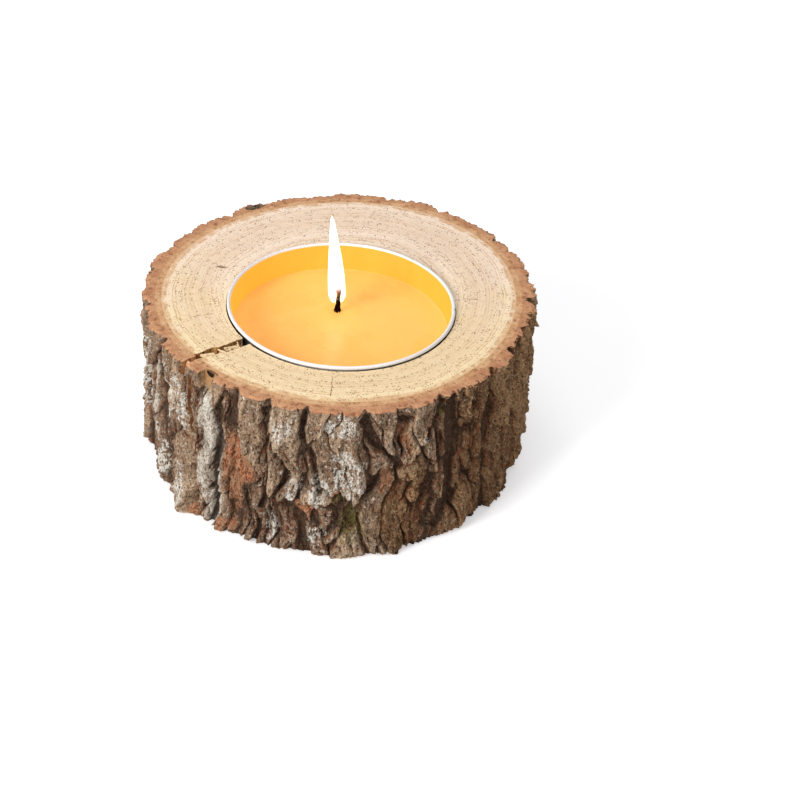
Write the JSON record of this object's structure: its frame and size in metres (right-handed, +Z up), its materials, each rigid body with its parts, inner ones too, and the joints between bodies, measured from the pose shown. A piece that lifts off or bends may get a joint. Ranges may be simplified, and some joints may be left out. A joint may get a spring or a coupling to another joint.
{
  "type": "tealight holder",
  "caption": "Slice of a log with its bark on, bored out for a large tealight that lifts out, shown with its cup, wax, wick and flame.",
  "frame": {"origin": "middle of the log on its lower sawn face, which stands on the table", "axes": "+Z up out of the bore, -Y towards the front, where the bore lies nearer the bark, and +X to the right"},
  "size_m": [0.1006, 0.1037, 0.068],
  "materials": {
    "sawn_wood": "sawn across the grain, dry and matt, with fine growth rings and pores",
    "inner_bark": "reddish tan, fibrous, matt",
    "outer_bark": "grey-brown cork, deeply furrowed, with pale lichen, matt",
    "cup_aluminium": "thin bright drawn sheet with a rolled rim",
    "candle_wax": "melted beeswax-yellow wax, clear and glossy",
    "charred_cotton": "charred black braid with a glowing tip",
    "tinned_steel": "thin pressed tinplate",
    "flame": "bright white glow, soft yellow at its edge"
  },
  "bodies": {
    "holder": {"wood_disc": "sawn_wood", "inner_bark": "inner_bark", "outer_bark": "outer_bark"},
    "candle": {"candle_cup": "cup_aluminium", "wax": "candle_wax", "wick": "charred_cotton", "wick_foot": "tinned_steel", "flame": "flame"}
  },
  "joints": [
    {"name": "candle_lift", "type": "slide", "parent": "holder", "child": "candle", "axis": [0, 0, 1], "range_m": [0, 0.03]}
  ]
}
